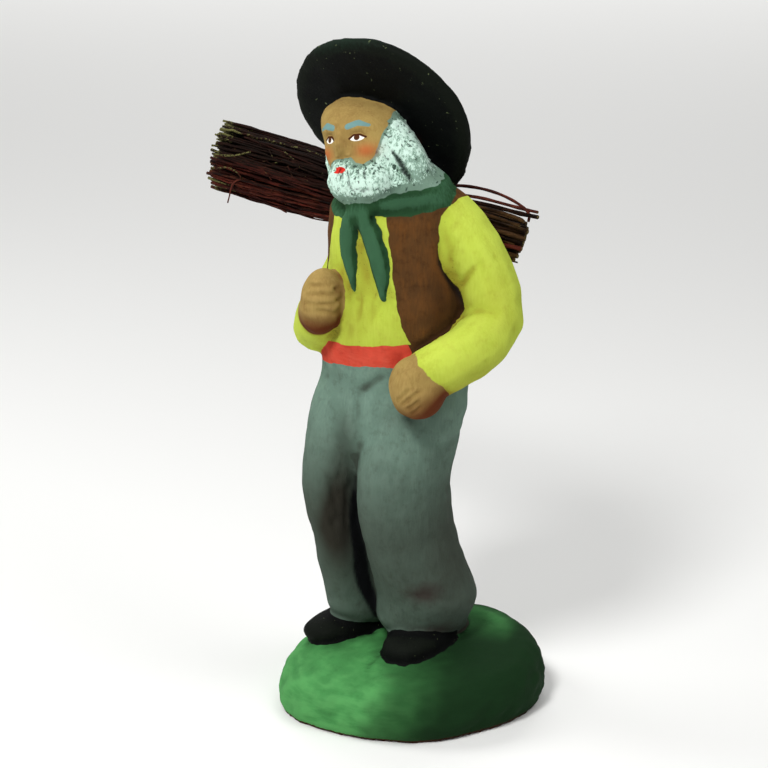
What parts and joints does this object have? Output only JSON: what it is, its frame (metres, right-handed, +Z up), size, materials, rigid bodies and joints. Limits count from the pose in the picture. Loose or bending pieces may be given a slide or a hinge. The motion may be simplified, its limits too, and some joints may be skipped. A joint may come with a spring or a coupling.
{
  "type": "santon figure",
  "caption": "Painted terracotta crib figure of an old bearded wood-gatherer in a wide black hat, bent under a bundle of real twigs, standing on a small grassy mound.",
  "frame": {"origin": "middle of the mound's flat underside", "axes": "+Z up, the man faces -Y, and +X is to the man's left"},
  "size_m": [0.0798, 0.0449, 0.1201],
  "materials": {
    "painted_terracotta": "hand-painted matt terracotta: black hat and shoes, grey-white beard, green kerchief, yellow-green shirt, brown waistcoat, red sash, grey-green trousers, green mound",
    "twig_bark": "dry reddish-brown bark with olive moss"
  },
  "bodies": {
    "root": {"clay_figure": "painted_terracotta", "binding_withy": "twig_bark", "twig_01": "twig_bark", "twig_02": "twig_bark", "twig_03": "twig_bark", "twig_04": "twig_bark", "twig_05": "twig_bark", "twig_06": "twig_bark", "twig_07": "twig_bark", "twig_08": "twig_bark", "twig_09": "twig_bark", "twig_10": "twig_bark", "twig_11": "twig_bark", "twig_12": "twig_bark", "twig_13": "twig_bark", "twig_14": "twig_bark", "twig_15": "twig_bark", "twig_16": "twig_bark", "twig_17": "twig_bark", "twig_18": "twig_bark", "twig_19": "twig_bark", "twig_20": "twig_bark", "twig_21": "twig_bark", "twig_22": "twig_bark", "twig_23": "twig_bark", "twig_24": "twig_bark", "twig_25": "twig_bark", "twig_26": "twig_bark", "twig_27": "twig_bark", "twig_28": "twig_bark", "twig_29": "twig_bark", "twig_30": "twig_bark", "twig_31": "twig_bark", "twig_32": "twig_bark", "twig_33": "twig_bark", "twig_34": "twig_bark", "twig_35": "twig_bark", "twig_36": "twig_bark", "twig_37": "twig_bark", "twig_38": "twig_bark", "twig_39": "twig_bark", "twig_40": "twig_bark", "twig_41": "twig_bark", "twig_42": "twig_bark", "twig_43": "twig_bark", "twig_44": "twig_bark", "twig_45": "twig_bark", "twig_46": "twig_bark", "twig_47": "twig_bark", "twig_48": "twig_bark", "twig_49": "twig_bark", "twig_50": "twig_bark"}
  },
  "joints": []
}
